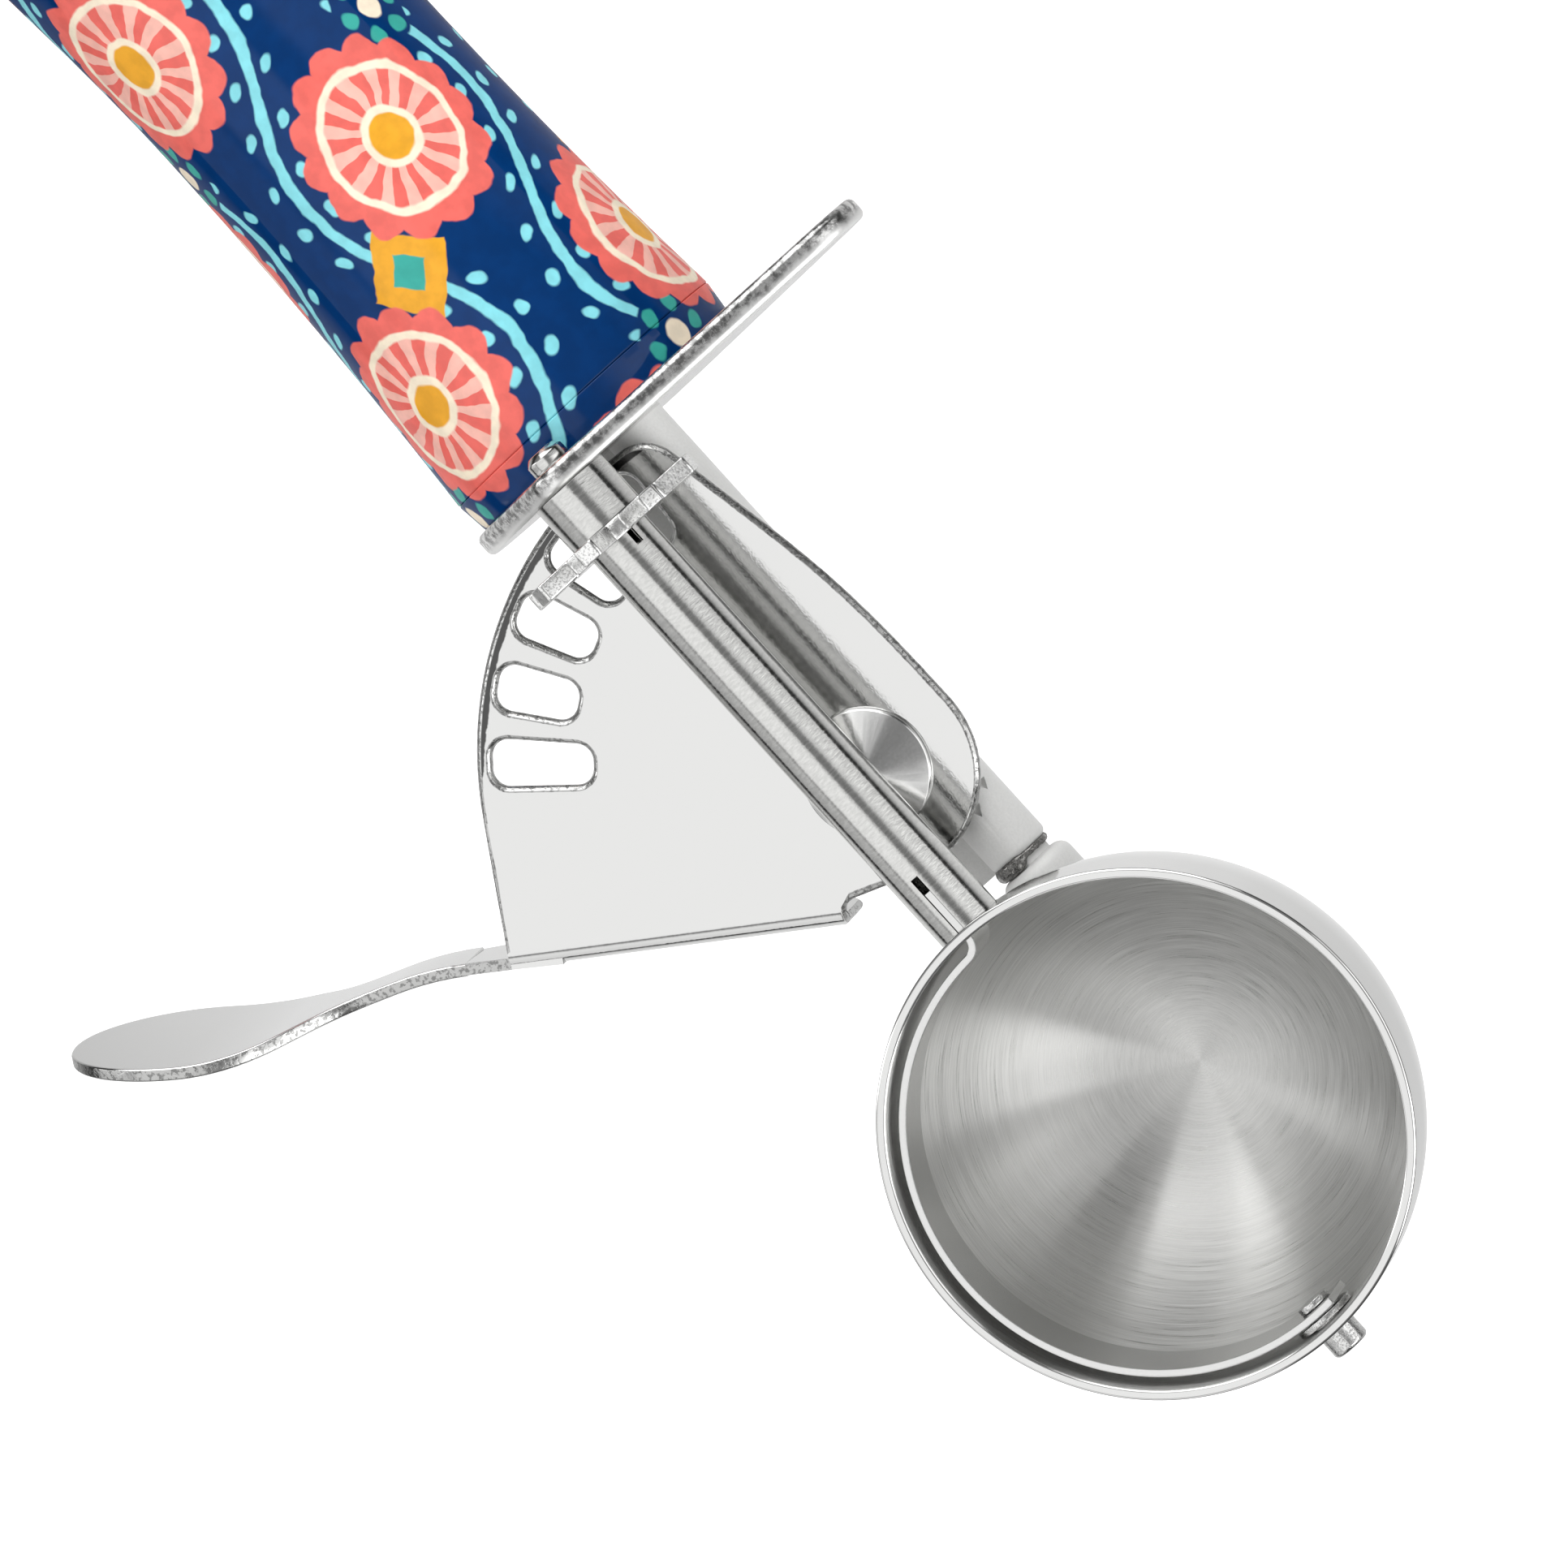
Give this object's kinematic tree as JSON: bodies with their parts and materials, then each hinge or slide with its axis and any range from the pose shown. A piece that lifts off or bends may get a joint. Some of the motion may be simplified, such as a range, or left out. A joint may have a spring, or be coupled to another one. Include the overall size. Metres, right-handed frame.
{
  "type": "cookie scoop",
  "caption": "Spring-return kitchen scoop: a hemispherical bowl with a hoop scraper that a slotted thumb lever turns through a star pinion, with finger guard and waisted handle.",
  "frame": {"origin": "centre of the bowl's mouth, in the plane of the rim", "axes": "+X along the shaft away from the handle, +Z out of the mouth, thumb lever on the -Y side"},
  "size_m": [0.1914, 0.0897, 0.0355],
  "materials": {
    "bowl_steel": "polished outside, spun circular brushing inside",
    "bright_steel": "bright polished stainless",
    "guard_steel": "polished faces with a rough sheared edge",
    "spring_wire": "drawn wire",
    "bush_nylon": "natural nylon",
    "core_plastic": "moulded",
    "handle_print": null,
    "handle_lacquer": "gloss"
  },
  "bodies": {
    "frame": {"bowl": "bowl_steel", "bowl_saddle": "bright_steel", "shank": "bright_steel", "finger_guard": "guard_steel", "shaft_pin": "bright_steel", "hub_sleeve": "bright_steel", "return_spring": "spring_wire", "pivot_rivet": "bright_steel", "pivot_spacer": "bright_steel", "handle_core": "core_plastic", "handle_collar": "handle_lacquer", "handle_grip": "handle_print", "handle_butt_cap": "handle_lacquer"},
    "lever": {"thumb_lever": "bright_steel", "pivot_bush": "bright_steel"},
    "scraper": {"pinion": "bright_steel", "shaft_tube": "bright_steel", "tube_bush": "bush_nylon", "scraper_blade": "bright_steel", "blade_pin": "bright_steel", "blade_washer": "bright_steel"}
  },
  "joints": [
    {"name": "lever_press", "type": "hinge", "parent": "frame", "child": "lever", "pos_m": [-0.0329, 0, -0.01], "axis": [0, 0, -1], "range_deg": [0, 48], "stiffness_Nm_per_rad": 0.15, "springref_deg": -17.19},
    {"name": "scraper_turn", "type": "hinge", "parent": "frame", "child": "scraper", "pos_m": [0, 0, -0.0032], "axis": [1, 0, 0], "range_deg": [0, 180]}
  ],
  "couplings": [
    {"joint": "scraper_turn", "follows": "lever_press", "ratio": 3.75}
  ]
}
